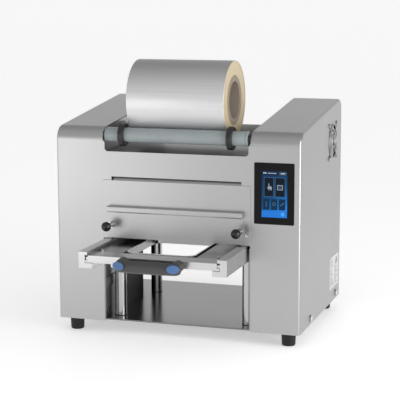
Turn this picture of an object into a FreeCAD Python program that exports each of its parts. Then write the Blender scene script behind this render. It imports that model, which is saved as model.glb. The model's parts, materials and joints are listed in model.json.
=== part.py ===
import FreeCAD, Part
import math
import os
import types

import Sketcher

# Tray and cup sealing machine, in millimetres.
# Every piece is drawn in the cabinet's own coordinates: X across with 0 on the middle plane,
# Y from the front face (0) to the rear, Z up from the cabinet's underside (0).
# publish() then puts the piece in the part's frame, whose origin is on the floor
# under the middle of the whole machine.

SIZES = {
    # cabinet
    "width": 520, "depth": 382, "foot_height": 28, "skin": 2, "wall": 3,
    "face_top": 403.9, "roof_slope": 0.1127, "front_bend": 28, "rear_bend": 25,
    "tower_edge": 157, "notch_half": 153, "notch_z": 357.5, "notch_bend": 7,
    "throat_z": 177, "slot_half": 138.7, "slot_z": 305.5, "rear_top": 400,
    # inner walls: front flange, rib, the recess round the rear of the throat, gap under the roof
    "flange": 2.2, "flange_drop": 6, "rib_long": 58, "rib_low": 69, "rib_top": 91,
    "wall_rear": 230, "recess_half": 212, "recess_z": 150, "wall_gap": 3.2,
    # louvres and mains inlet in the rear panel, deck of the film bay and the film's slot in it
    "louvre_low": 180, "louvre_pitch": 14, "louvre_tall": 6, "louvre_in": 15, "louvre_out": 20,
    "inlet_near": 42, "inlet_far": 12, "inlet_low": 46, "inlet_top": 94,
    "deck_rise": 8.5, "film_slot": 186, "film_slot_wide": 12, "film_slot_side": 8,
    # how far the handle stands in front of the face, and the mains inlet behind it
    "front_reach": 186, "rear_reach": 386,
    # base, columns and feet
    "base_front": 10, "column_rad": 12.5, "column_x": 139.9, "column_front": 50, "column_rear": 275,
    "seal_height": 1, "seal_wide": 0.6, "foot_rad": 15, "foot_x": 231, "foot_front": 28,
    "foot_rear": 354,
    # drawer rails
    "rail_front": 148, "rail_rear": 300, "rail_out": 152.2, "rail_top": 176.8, "rail_low": 143.6,
    "rail_web": 138.6, "rail_lip": 133.4, "rail_ledge": 122.8, "rail_lip_z": 170, "rail_ledge_z": 154.8,
    # drawer
    "bar_half": 132.6, "bar_depth": 41, "drawer_z": 155.3, "deck_z": 166, "bar_z": 170,
    "tongue_half": 138.1, "tongue_z": 160.3, "tongue_thin": 4, "drawer_rear": 150,
    "nest_half": 73, "nest_front": 104.5, "nest_rear": 85.5, "nest_wall": 3, "nest_bend": 22,
    "nest_top": 171.5, "mould_half": 129, "mould_gap": 77, "mould_thick": 3, "mould_rear": 125,
    "pin_rad": 2.5, "pin_x": 121, "pin_tall": 4, "stop_rad": 4, "stop_x": 86, "stop_tall": 9,
    # handle
    "handle_x": 56, "handle_z": 160.7, "grip_y": 172, "grip_z": 157, "grip_rad": 12.5, "leg_rad": 11,
    "cap_rim": 1.5, "cap_thick": 0.5,
    # front panel and its hooked lip
    "panel_half": 157.3, "panel_low": 177.5, "panel_top": 298.4, "panel_notch": 1.5,
    "lip_drop": 8, "lip_gap": 1, "lip_side": 0.8, "lip_lean": 9,
    # guard, its sleeves and the pull knobs
    "guard_half": 144.3, "guard_low": 179, "guard_top": 246, "guard_gap": 0.3, "lip_low": 233.5,
    "lip_reach": 13, "lip_bend": 2.5, "sleeve_long": 7, "sleeve_wall": 3,
    "knob_x": 137.5, "knob_y": 35.5, "knob_z": 207, "knob_rad": 10, "knob_seat": 8.5,
    "stem_rad": 4, "stem_play": 0.3, "stem_tail": 0.6,
    # domed screws
    "panel_screw_rad": 3, "panel_screw_x": 150, "panel_screw_z": 197, "panel_screw_tall": 2,
    "side_screw_rad": 7.5, "side_screw_tall": 3, "side_screw_front": 97, "side_screw_rear": 343,
    "side_screw_z": 12,
    # touch display
    "bezel_left": 165.2, "bezel_right": 247, "bezel_low": 223.4, "bezel_top": 346.8, "bezel_thick": 1.5,
    "bezel_lap": 6, "bezel_bend": 2.5, "housing_depth": 16,
    "screen_left": 181, "screen_right": 232.9, "screen_low": 237.9, "screen_top": 331.2,
    "screen_thick": 0.2,
    # film roll and its rollers
    "roller_y": 10, "roller_z": 391.5, "roller_rad": 15, "roller_half": 151, "shaft_rad": 5,
    "groove_in": 4, "groove_wide": 1.5, "groove_deep": 1,
    "roll_y": 74, "roll_rad": 80, "roll_half": 103, "core_rad": 50, "core_bore": 38.25, "roll_gap": 0.3,
    "collar_rad": 23.75, "collar_in": 109.2, "collar_wide": 11, "bushing_wide": 5, "bushing_wall": 4,
    # sealing press
    "head_x": 110, "head_front": 60, "head_rear": 240, "head_z": 235, "head_thick": 12, "head_y": 150,
    "heater_half": 88, "heater_narrow": 12, "heater_z": 200, "heater_bend": 20,
    "knife_half": 96, "knife_narrow": 12, "knife_short": 4, "knife_z": 198, "knife_wall": 3,
    "knife_bend": 24, "beam_z": 290, "beam_thick": 10, "beam_front": 45, "beam_rear": 290,
    "post_rad": 8, "post_x": 90, "post_span": 70, "post_top": 350, "press_motor_rad": 32,
    "press_motor_tall": 52, "screw_rad": 6, "screw_low": 240, "nut_rad": 14, "nut_top": 285,
    # film guides and waste spool inside, and their motors
    "guide_rad": 10, "guide_half": 130, "guide_front": 28, "guide_rear": 335, "guide_z": 325,
    "axle_rad": 4, "spool_y": 335, "spool_z": 245, "spool_rad": 16, "spool_flange": 34,
    "spool_half": 115, "spool_flange_wide": 3, "feed_motor_rad": 20, "feed_motor_long": 64,
    "waste_motor_rad": 25, "waste_motor_long": 70, "motor_out": 72,
    # cooling fan: vent slots, frame, impeller and wire guard
    "vent_in": 29, "vent_out": 36,
    "fan_y": 292, "fan_z": 359, "fan_size": 80, "fan_thick": 25, "fan_pitch": 71.5, "fan_rad": 37,
    "strut_thick": 3, "hub_rad": 16, "hub_back": 4, "hub_long": 17, "blade_long": 15, "blade_thick": 2,
    "wire_rad": 1, "wire_out": 1.1, "wire_ring": 12, "guard_screw_rad": 4.5, "guard_screw_tall": 2.6,
    # rating label
    "label_front": 278, "label_rear": 365, "label_low": 30, "label_top": 101, "label_thick": 0.3,
    # play between what turns or slides and what holds it
    "running": 0.05,
}

VENT_SLOTS = 4
VENT_BRIDGE = 22
LOUVRES = 9
FAN_BLADES = 7
WIRE_RINGS = 3


def number(value):
    """The plain number of a length."""
    return value.number if isinstance(value, Dim) else float(value)


def formula(value):
    """The spreadsheet formula of a length."""
    return value.formula if isinstance(value, Dim) else repr(float(value))


class Dim:
    """A length that carries both its number and the spreadsheet formula it comes from."""

    def __init__(self, text, value):
        self.formula = text
        self.number = float(value)

    def __add__(self, other):
        return Dim("(%s + %s)" % (self.formula, formula(other)), self.number + number(other))

    def __radd__(self, other):
        return Dim("(%s + %s)" % (formula(other), self.formula), number(other) + self.number)

    def __sub__(self, other):
        return Dim("(%s - %s)" % (self.formula, formula(other)), self.number - number(other))

    def __rsub__(self, other):
        return Dim("(%s - %s)" % (formula(other), self.formula), number(other) - self.number)

    def __mul__(self, other):
        return Dim("(%s * %s)" % (self.formula, formula(other)), self.number * number(other))

    def __rmul__(self, other):
        return Dim("(%s * %s)" % (formula(other), self.formula), number(other) * self.number)

    def __truediv__(self, other):
        return Dim("(%s / %s)" % (self.formula, formula(other)), self.number / number(other))

    def __neg__(self):
        return Dim("(-1 * %s)" % self.formula, -self.number)


# ---------------------------------------------------------------- document and spreadsheet

doc = FreeCAD.newDocument("sealing_machine")
sheet = doc.addObject("Spreadsheet::Sheet", "dims")
for row, (name, value) in enumerate(SIZES.items(), start=1):
    sheet.set("A%d" % row, name)
    sheet.set("B%d" % row, str(value))
    sheet.setAlias("B%d" % row, name)
doc.recompute()
d = types.SimpleNamespace(**{name: Dim("dims." + name, value) for name, value in SIZES.items()})

HALF = d.width / 2
REAR_ROLLER_Y = 2 * d.roll_y - d.roller_y
FACE_Y = (d.front_reach - d.rear_reach) / 2
SIDES = (("left", -1), ("right", 1))
parts = []
spots = {}


# ---------------------------------------------------------------- building blocks

def new(kind, name):
    return doc.addObject(kind, name)


def put(item, x, y, z, turn=None):
    """Place an item; the three coordinates follow the spreadsheet."""
    if turn is not None:
        item.Placement = FreeCAD.Placement(FreeCAD.Vector(), turn)
    for axis, value in zip("xyz", (x, y, z)):
        item.setExpression("Placement.Base." + axis, formula(value))
    spots[item.Name] = (x, y, z)
    return item


def box(name, low, high):
    """Block between two corners."""
    item = new("Part::Box", name)
    for side, a, b in zip(("Length", "Width", "Height"), low, high):
        item.setExpression(side, formula(b - a))
    return put(item, *low)


TURNS = {
    "x": FreeCAD.Rotation(FreeCAD.Vector(0, 1, 0), 90),
    "y": FreeCAD.Rotation(FreeCAD.Vector(1, 0, 0), -90),
    "z": FreeCAD.Rotation(),
}


def rod(name, axis, radius, start, length):
    """Round bar that starts at a point and runs along +X, +Y or +Z."""
    item = new("Part::Cylinder", name)
    item.setExpression("Radius", formula(radius))
    item.setExpression("Height", formula(length))
    return put(item, *start, turn=TURNS[axis])


def ball(name, radius, centre):
    """Sphere about its centre."""
    item = new("Part::Sphere", name)
    item.setExpression("Radius", formula(radius))
    return put(item, *centre)


def ring(name, axis, big, small, centre):
    """Round wire ring."""
    item = new("Part::Torus", name)
    item.setExpression("Radius1", formula(big))
    item.setExpression("Radius2", formula(small))
    return put(item, *centre, turn=TURNS[axis])


def cut(name, base, tool):
    item = new("Part::Cut", name)
    item.Base = base
    item.Tool = tool
    return put(item, 0, 0, 0)


def fuse(name, items):
    item = new("Part::MultiFuse", name)
    item.Shapes = items
    return put(item, 0, 0, 0)


def group(name, items):
    """Several separate solids that share one node."""
    item = new("Part::Compound", name)
    item.Links = items
    return put(item, 0, 0, 0)


def tube(name, axis, outer, inner, start, length):
    return cut(name, rod(name + "_outer", axis, outer, start, length),
               rod(name + "_bore", axis, inner, start, length))


def add_straight_loop(sketch, points):
    """Closed outline of straight lines; every corner is tied to the spreadsheet."""
    first = sketch.GeometryCount
    corners = [FreeCAD.Vector(number(u), number(v), 0) for u, v in points]
    for here, following in zip(corners, corners[1:] + corners[:1]):
        sketch.addGeometry(Part.LineSegment(here, following), False)
    for index in range(len(points)):
        nearest = first + (index + 1) % len(points)
        sketch.addConstraint(Sketcher.Constraint("Coincident", first + index, 2, nearest, 1))
    for index, (u, v) in enumerate(points):
        for kind, value, axis in (("DistanceX", u, -2), ("DistanceY", v, -1)):
            if abs(number(value)) < 1e-9:
                sketch.addConstraint(Sketcher.Constraint("PointOnObject", first + index, 1, axis))
                continue
            tie = Sketcher.Constraint(kind, -1, 1, first + index, 1, number(value))
            sketch.setExpression("Constraints[%d]" % sketch.addConstraint(tie), formula(value))


def add_rounded_loop(sketch, points):
    """Closed outline whose corners (u, v, radius) are rounded with tangent arcs."""
    corners = [(FreeCAD.Vector(number(u), number(v), 0), number(r)) for u, v, r in points]
    spans = []
    for index, (corner, radius) in enumerate(corners):
        before = (corners[index - 1][0] - corner).normalize()
        after = (corners[(index + 1) % len(corners)][0] - corner).normalize()
        if radius == 0:
            spans.append((corner, None, corner))
            continue
        half_angle = before.getAngle(after) / 2
        reach = radius / math.tan(half_angle)
        bisector = (before + after).normalize()
        middle = corner + bisector * (radius / math.sin(half_angle) - radius)
        spans.append((corner + before * reach, middle, corner + after * reach))
    for (start, middle, end), following in zip(spans, spans[1:] + spans[:1]):
        if middle is not None:
            sketch.addGeometry(Part.Arc(start, middle, end), False)
        if (following[0] - end).Length > 1e-6:
            sketch.addGeometry(Part.LineSegment(end, following[0]), False)


def add_circle(sketch, u, v, radius):
    centre = FreeCAD.Vector(number(u), number(v), 0)
    index = sketch.addGeometry(Part.Circle(centre, FreeCAD.Vector(0, 0, 1), number(radius)), False)
    tie = Sketcher.Constraint("Radius", index, number(radius))
    sketch.setExpression("Constraints[%d]" % sketch.addConstraint(tie), formula(radius))


def plate(name, plane, outlines, start, end):
    """PartDesign body: outlines drawn on a plane and padded from start to end along its normal.

    On "YZ" the outline's axes are Y and Z, on "XZ" X and Z, on "XY" X and Y. The first outline is
    the outside and the others are holes.
    """
    body = new("PartDesign::Body", name)
    sketch = body.newObject("Sketcher::SketchObject", name + "_sketch")
    origin = [f for f in body.Origin.OriginFeatures if f.Role == plane + "_Plane"][0]
    sketch.AttachmentSupport = [(origin, "")]
    sketch.MapMode = "FlatFace"
    # the XZ plane's normal points to -Y, so that pad starts at the far end
    offset = -end if plane == "XZ" else start
    sketch.setExpression("AttachmentOffset.Base.z", formula(offset))
    for outline in outlines:
        if isinstance(outline, tuple):
            add_circle(sketch, *outline)
        elif len(outline[0]) == 3:
            add_rounded_loop(sketch, outline)
        else:
            add_straight_loop(sketch, outline)
    pad = body.newObject("PartDesign::Pad", name + "_pad")
    pad.Profile = sketch
    pad.setExpression("Length", formula(end - start))
    body.Tip = pad
    sketch.Visibility = False
    return put(body, 0, 0, 0)


def rectangle(u1, v1, u2, v2, radius=None):
    corners = [(u1, v1), (u2, v1), (u2, v2), (u1, v2)]
    return corners if radius is None else [(u, v, radius) for u, v in corners]


def publish(item, label):
    """Make an item a sub-part: its label names its file, and it moves to the part's frame."""
    x, y, z = spots[item.Name]
    put(item, x, FACE_Y + y, d.foot_height + z)
    item.Label = label
    parts.append(item)


# ---------------------------------------------------------------- cabinet skin

def roof(y, below=0):
    """Height of the sloping roof at a depth y, or of a line parallel to it below."""
    return d.face_top + d.roof_slope * y - below


BEND_START = d.face_top - d.front_bend * math.tan(math.radians(41.785))
INNER_DROP = d.skin * math.hypot(1, SIZES["roof_slope"])


def front_fascia():
    """Flat front sheet with the throat below, the film notch above and the display window."""
    edge, notch, slot, top = d.tower_edge, d.notch_half, d.slot_half, BEND_START
    side = HALF - d.skin
    outline = [
        (-side, 0, 0), (-edge, 0, 0), (-edge, d.throat_z, 0), (-slot, d.throat_z, 0),
        (-slot, d.slot_z, 0), (slot, d.slot_z, 0), (slot, d.throat_z, 0), (edge, d.throat_z, 0),
        (edge, 0, 0), (side, 0, 0), (side, top, 0), (notch, top, d.notch_bend / 2),
        (notch, d.notch_z, d.notch_bend), (-notch, d.notch_z, d.notch_bend),
        (-notch, top, d.notch_bend / 2), (-side, top, 0),
    ]
    lap = d.bezel_lap
    window = rectangle(d.bezel_left + lap, d.bezel_low + lap, d.bezel_right - lap, d.bezel_top - lap)
    publish(plate("fascia", "XZ", [outline, window], 0, d.skin), "front_fascia")


def top_cover(label, side):
    """Bent sheet over one tower: front bend, sloping roof, rear bend and a short rear flange."""
    back = d.depth
    outline = [
        (0, BEND_START, 0), (d.skin, BEND_START, 0),
        (d.skin, roof(d.skin, INNER_DROP), d.front_bend - d.skin),
        (back - d.skin, roof(back - d.skin, INNER_DROP), d.rear_bend - d.skin),
        (back - d.skin, d.rear_top, 0), (back, d.rear_top, 0),
        (back, roof(back), d.rear_bend), (0, roof(0), d.front_bend),
    ]
    low, high = sorted((side * d.tower_edge, side * (HALF - d.skin)), key=number)
    publish(plate(label + "_cover", "YZ", [outline], low, high), label + "_top_cover")


def vent_slots():
    """Fan vent: ring-shaped slots with a bridge between each and the next."""
    pitch = 360 / VENT_SLOTS
    span = math.radians(pitch - VENT_BRIDGE)
    slots = []
    for turn in range(VENT_SLOTS):
        middle = math.radians(pitch * (turn + 0.5))
        loop = []
        for radius, way in ((d.vent_in, 1), (d.vent_out, -1)):
            for share in (-0.5, -0.25, 0, 0.25, 0.5):
                angle = middle + way * span * share
                loop.append((d.fan_y + radius * math.cos(angle), d.fan_z + radius * math.sin(angle), 0))
        slots.append(loop)
    return slots


def side_panel(label, side):
    """Flat side sheet with the roof's outline; the right one has the fan vent."""
    back = d.depth
    outline = [(0, 0, 0), (back, 0, 0), (back, roof(back), d.rear_bend), (0, roof(0), d.front_bend)]
    holes = vent_slots() if side > 0 else []
    low, high = sorted((side * (HALF - d.skin), side * HALF), key=number)
    publish(plate(label + "_panel", "YZ", [outline] + holes, low, high), label + "_side_panel")


def rear_panel():
    """Rear sheet: open at the throat, with vent slots and the mains inlet's cut-out."""
    side, recess, edge = HALF - d.skin, d.recess_half, d.tower_edge
    middle_z = d.notch_z + d.deck_rise
    outline = [
        (-side, d.wall), (-recess, d.wall), (-recess, d.recess_z), (recess, d.recess_z),
        (recess, d.wall), (side, d.wall), (side, d.rear_top), (edge, d.rear_top),
        (edge, middle_z), (-edge, middle_z), (-edge, d.rear_top), (-side, d.rear_top),
    ]
    louvres = []
    for n in range(LOUVRES):
        low = d.louvre_low + d.louvre_pitch * n
        louvres.append(rectangle(-HALF + d.louvre_out, low, -edge - d.louvre_in, low + d.louvre_tall))
    inlet = rectangle(HALF - d.inlet_near, d.inlet_low, HALF - d.inlet_far, d.inlet_top)
    publish(plate("rear", "XZ", [outline, inlet] + louvres, d.depth - d.skin, d.depth), "rear_panel")


def inner_wall(label, side):
    """Wall between a tower and the middle, with the recess round the rear of the throat."""
    back, top = d.depth - d.skin, d.rear_top
    near, far = d.tower_edge, d.recess_half
    # the top corners are cut off in two steps, inside the cover's bends
    rear_end, front_end = back - d.rear_bend - 1, d.skin + d.front_bend
    outline = [
        (d.skin, d.wall), (d.wall_rear, d.wall), (d.wall_rear, d.recess_z), (back, d.recess_z),
        (back, top + 18), (back - 7, top + 33), (rear_end, roof(rear_end, d.wall_gap)),
        (front_end, roof(front_end, d.wall_gap)), (d.skin + 8, BEND_START + 12), (d.skin, BEND_START),
    ]
    # the rear roller's shaft and the waste spool's axle reach their motors through the wall
    holes = [(REAR_ROLLER_Y, d.roller_z, d.shaft_rad + 1), (d.spool_y, d.spool_z, d.shaft_rad + 1)]
    low, high = sorted((side * near, side * (near + d.skin)), key=number)
    wall = plate(label + "_wall_sheet", "YZ", [outline] + holes, low, high)

    def slab(name, near_x, far_x, y1, y2, z1, z2):
        a, b = sorted((side * near_x, side * far_x), key=number)
        return box(label + name, (a, y1, z1), (b, y2, z2))

    pieces = [
        wall,
        slab("_flange", near - d.flange, near, 0, 2 * d.skin, d.wall, d.throat_z - d.flange_drop),
        slab("_rib", near - d.skin, near, d.skin, d.skin + d.rib_long, d.rib_low, d.rib_top),
        slab("_jog", near, far + d.skin, d.wall_rear, d.wall_rear + d.skin, d.wall, d.recess_z),
        slab("_liner", far, far + d.skin, d.wall_rear, back, d.wall, d.recess_z),
        slab("_shelf", near, far + d.skin, d.wall_rear, back, d.recess_z, d.recess_z + d.skin),
    ]
    publish(fuse(label + "_wall", pieces), label + "_inner_wall")


def bay_deck():
    """Floor of the film bay, rising slightly to the rear, with the slot that the film goes through."""
    back, low, high = d.depth - d.skin, d.notch_z, d.notch_z + d.deck_rise
    profile = [(d.skin, low - d.skin), (back, high - d.skin), (back, high), (d.skin, low)]
    sheet_metal = plate("deck_sheet", "YZ", [profile], -d.tower_edge, d.tower_edge)
    half = d.roll_half + d.film_slot_side
    rear = d.film_slot + d.film_slot_wide
    slot = box("deck_slot", (-half, d.film_slot, low - d.skin), (half, rear, high + d.skin))
    publish(cut("deck", sheet_metal, slot), "film_bay_deck")


def base_plate():
    side = HALF - d.skin
    publish(box("base", (-side, d.base_front, 0), (side, d.depth + 2, d.wall)), "base_plate")


# ---------------------------------------------------------------- base, columns, feet and rails

def columns():
    """Four polished columns that carry the drawer rails, each with a thin seal at its foot."""
    rods, seals = [], []
    for label, side in SIDES:
        for end, y in (("front", d.column_front), ("rear", d.column_rear)):
            spot = (side * d.column_x, y, d.wall)
            name = "column_%s_%s" % (end, label)
            rods.append(rod(name, "z", d.column_rad, spot, d.rail_low - d.wall))
            outer = d.column_rad + d.seal_wide
            seals.append(tube(name + "_seal", "z", outer, d.column_rad, spot, d.seal_height))
    publish(group("column_set", rods), "columns")
    publish(group("seal_set", seals), "column_seals")


def feet():
    """Rubber feet, slightly narrower at the floor."""
    cones = []
    for label, side in SIDES:
        for end, y in (("front", d.foot_front), ("rear", d.foot_rear)):
            item = new("Part::Cone", "foot_%s_%s" % (end, label))
            item.setExpression("Radius1", formula(d.foot_rad - 1))
            item.setExpression("Radius2", formula(d.foot_rad))
            item.setExpression("Height", formula(d.foot_height))
            cones.append(put(item, side * d.foot_x, y, -d.foot_height))
    publish(group("foot_set", cones), "feet")


def rail(label, side):
    """C-shaped rail: a lip over the drawer's tongue and a ledge under it."""
    outline = [
        (d.rail_out, d.rail_low), (d.rail_out, d.rail_top), (d.rail_lip, d.rail_top),
        (d.rail_lip, d.rail_lip_z), (d.rail_web, d.rail_lip_z), (d.rail_web, d.rail_ledge_z),
        (d.rail_ledge, d.rail_ledge_z), (d.rail_ledge, d.rail_low),
    ]
    outline = [(side * u, v) for u, v in outline]
    bar = plate(label + "_rail_bar", "XZ", [outline], -d.rail_front, d.rail_rear)
    publish(bar, label + "_drawer_rail")


# ---------------------------------------------------------------- drawer

def drawer():
    """Drawer frame, mould plate, tray nest and pins: everything that the handle pulls out."""
    front = -d.rail_front
    well = rectangle(-d.mould_gap, front + d.bar_depth + 1, d.mould_gap, d.nest_rear + 4)
    outside = rectangle(-d.bar_half, front, d.bar_half, d.drawer_rear)
    pieces = [
        plate("drawer_tray", "XY", [outside, well], d.drawer_z, d.deck_z),
        box("drawer_bar", (-d.bar_half, front, d.deck_z), (d.bar_half, front + d.bar_depth, d.bar_z)),
    ]
    for label, side in SIDES:
        low, high = sorted((side * d.bar_half, side * d.tongue_half), key=number)
        full = front + d.tongue_thin
        pieces.append(box("tongue_" + label, (low, full, d.drawer_z), (high, d.drawer_rear, d.deck_z)))
        pieces.append(box("tongue_tip_" + label, (low, front, d.drawer_z), (high, full, d.tongue_z)))
    publish(fuse("drawer_body", pieces), "drawer_frame")

    y1, y2 = -d.nest_front - 1, d.mould_rear
    gap, half = d.mould_gap, d.mould_half
    horseshoe = [(-half, y1), (-gap, y1), (-gap, d.nest_rear + 4), (gap, d.nest_rear + 4), (gap, y1),
                 (half, y1), (half, y2), (-half, y2)]
    publish(plate("mould", "XY", [horseshoe], d.deck_z, d.deck_z + d.mould_thick), "mould_plate")

    half, wall, bend = d.nest_half, d.nest_wall, d.nest_bend
    outer = rectangle(-half, -d.nest_front, half, d.nest_rear, bend)
    inner = rectangle(-half + wall, -d.nest_front + wall, half - wall, d.nest_rear - wall, bend - wall)
    foot = rectangle(-gap, -d.nest_front - 1.5, gap, d.nest_rear + 4)
    rim = plate("nest_rim", "XY", [outer, inner], d.drawer_z, d.nest_top)
    flange = plate("nest_foot", "XY", [[(u, v, 0) for u, v in foot], inner], d.drawer_z, d.drawer_z + 3)
    publish(fuse("nest", [rim, flange]), "tray_nest")

    pins = []
    for label, side in SIDES:
        spot = (side * d.pin_x, -d.nest_front + 6, d.deck_z + d.mould_thick)
        pins.append(rod("pin_" + label, "z", d.pin_rad, spot, d.pin_tall))
    stop = (-d.stop_x, -d.rail_front + 4 * d.stop_rad, d.drawer_z - d.stop_tall)
    pins.append(rod("stop_pin", "z", d.stop_rad, stop, d.stop_tall))
    publish(group("pin_set", pins), "drawer_pins")


def handle():
    """Bridge handle: two legs, a round grip a little below them, and a blue cap on each leg."""
    start = -d.front_reach + d.cap_thick
    pieces = [rod("grip", "x", d.grip_rad, (-d.handle_x, -d.grip_y, d.grip_z), 2 * d.handle_x)]
    caps = []
    for label, side in SIDES:
        spot = (side * d.handle_x, start, d.handle_z)
        pieces.append(rod("leg_" + label, "y", d.leg_rad, spot, -d.rail_front - start))
        pieces.append(ball("knuckle_" + label, d.grip_rad, (side * d.handle_x, -d.grip_y, d.grip_z)))
        face = (spot[0], -d.front_reach, spot[2])
        caps.append(rod("cap_" + label, "y", d.leg_rad - d.cap_rim, face, d.cap_thick))
    publish(fuse("handle_body", pieces), "drawer_handle")
    publish(group("cap_set", caps), "handle_caps")


# ---------------------------------------------------------------- front panel, guard and knobs

def front_panel():
    """Wide panel over the press; its top hooks behind the face and its lower edge has a shallow notch."""
    half, low, inset = d.panel_half, d.panel_low, d.rail_web
    notch = low + d.panel_notch
    outline = [(-half, low), (-inset, low), (-inset, notch), (inset, notch), (inset, low),
               (half, low), (half, d.panel_top), (-half, d.panel_top)]
    sheet_metal = plate("panel_sheet", "XZ", [outline], -d.skin, 0)
    hook, back = d.panel_top - d.lip_drop, d.skin + d.lip_gap
    rise = d.slot_z + d.lip_drop
    joggle = [(0, hook), (back + d.skin, hook), (back + d.skin + d.lip_lean, rise),
              (back + d.lip_lean, rise), (back, hook + d.skin), (0, hook + d.skin)]
    reach = d.slot_half - d.lip_side
    lip = plate("panel_lip", "YZ", [joggle], -reach, reach)
    publish(fuse("panel", [sheet_metal, lip]), "front_panel")


def guard():
    """Film guard: a plate with a folded grip lip, and the sleeves that the pull knobs run in."""
    back = -d.skin - d.guard_gap
    front = back - d.skin
    outside = rectangle(-d.guard_half, d.guard_low, d.guard_half, d.guard_top)
    holes = [(side * d.knob_x, d.knob_z, d.stem_rad + d.stem_play) for _, side in SIDES]
    sheet_metal = plate("guard_sheet", "XZ", [outside] + holes, front, back)
    reach = -d.skin - d.lip_reach
    lip_profile = [(front, d.lip_low, 0), (front, d.guard_top, 0),
                   (reach, d.guard_top, d.lip_bend), (reach, d.lip_low, d.lip_bend)]
    lip = plate("guard_lip", "YZ", [lip_profile], -d.guard_half, d.guard_half)
    publish(fuse("guard_body", [sheet_metal, lip]), "guard_plate")

    sleeves = []
    for label, side in SIDES:
        spot = (side * d.knob_x, front - d.sleeve_long, d.knob_z)
        sleeves.append(tube("sleeve_" + label, "y", d.stem_rad + d.sleeve_wall, d.stem_rad + d.running,
                            spot, d.sleeve_long))
    publish(group("sleeve_set", sleeves), "knob_sleeves")

    for label, side in SIDES:
        tip = -d.knob_y + d.knob_seat
        tail = -d.skin - d.stem_tail
        spot = (side * d.knob_x, tip, d.knob_z)
        stem = rod("stem_" + label, "y", d.stem_rad, spot, tail - tip)
        grip = ball("ball_" + label, d.knob_rad, (side * d.knob_x, -d.knob_y, d.knob_z))
        seat = rod("ball_seat_" + label, "y", d.stem_rad, spot, d.knob_y)
        publish(stem, "knob_stem_" + label)
        publish(cut("knob_" + label, grip, seat), "pull_knob_" + label)


def display():
    """Touch display: black bezel, the lit screen and the housing behind the face."""
    low = (d.bezel_left, d.bezel_low)
    high = (d.bezel_right, d.bezel_top)
    outline = rectangle(*low, *high, d.bezel_bend)
    publish(plate("bezel", "XZ", [outline], -d.bezel_thick, 0), "display_bezel")
    publish(box("screen", (d.screen_left, -d.bezel_thick - d.screen_thick, d.screen_low),
                (d.screen_right, -d.bezel_thick, d.screen_top)), "display_screen")
    lap = d.bezel_lap + 1
    publish(box("housing", (low[0] + lap, 0, low[1] + lap),
                (high[0] - lap, d.skin + d.housing_depth, high[1] - lap)), "display_housing")


def dome_screws():
    """Domed screw heads on the front panel and low on both side panels."""
    screws = []
    for label, side in SIDES:
        spot = (side * d.panel_screw_x, -d.skin - d.panel_screw_tall, d.panel_screw_z)
        screws.append(rod("panel_screw_" + label, "y", d.panel_screw_rad, spot, d.panel_screw_tall))
        start = HALF if side > 0 else -HALF - d.side_screw_tall
        for end, y in (("front", d.side_screw_front), ("rear", d.side_screw_rear)):
            screws.append(rod("side_screw_%s_%s" % (end, label), "x", d.side_screw_rad,
                              (start, y, d.side_screw_z), d.side_screw_tall))
    publish(group("screw_set", screws), "dome_screws")


# ---------------------------------------------------------------- film roll and rollers

ROLLER_DISTANCE = SIZES["roll_rad"] + SIZES["roller_rad"] + SIZES["roll_gap"]
ROLL_RISE = math.sqrt(ROLLER_DISTANCE ** 2 - (SIZES["roll_y"] - SIZES["roller_y"]) ** 2)


def film_roll():
    """Film wound on a cardboard core, lying on the two rollers."""
    start = (-d.roll_half, d.roll_y, d.roller_z + ROLL_RISE)
    long = 2 * d.roll_half
    publish(tube("film", "x", d.roll_rad, d.core_rad, start, long), "film_roll")
    publish(tube("core", "x", d.core_rad, d.core_bore, start, long), "film_core")


def roller(label, y, reach):
    """Roller tube on its shaft, with a shallow groove near each end."""
    z, half = d.roller_z, d.roller_half
    long = 2 * half
    body = tube(label + "_tube", "x", d.roller_rad, d.shaft_rad, (-half, y, z), long)
    for side_label, side in SIDES:
        start = side * (half - d.groove_in) - d.groove_wide / 2
        groove = tube("%s_groove_%s" % (label, side_label), "x", d.roller_rad + d.groove_deep,
                      d.roller_rad - d.groove_deep, (start, y, z), d.groove_wide)
        body = cut("%s_grooved_%s" % (label, side_label), body, groove)
    publish(body, label + "_roller")
    publish(rod(label + "_axle", "x", d.shaft_rad, (-reach, y, z), 2 * reach), label + "_roller_shaft")


def collars():
    rings = []
    for label, side in SIDES:
        low = side * (d.collar_in + d.collar_wide / 2) - d.collar_wide / 2
        rings.append(tube("collar_" + label, "x", d.collar_rad, d.roller_rad,
                          (low, d.roller_y, d.roller_z), d.collar_wide))
    publish(group("collar_set", rings), "roller_collars")


def bushings():
    """Bushings on the inner walls that hold the two roller shafts."""
    items = []
    for label, side in SIDES:
        for end, y in (("front", d.roller_y), ("rear", REAR_ROLLER_Y)):
            name = "bushing_%s_%s" % (end, label)
            low = d.tower_edge - d.bushing_wide if side > 0 else -d.tower_edge
            items.append(tube(name, "x", d.shaft_rad + d.bushing_wall, d.shaft_rad + d.running,
                              (low, y, d.roller_z), d.bushing_wide))
    publish(group("bushing_set", items), "roller_bushings")


# ---------------------------------------------------------------- sealing press inside

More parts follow.
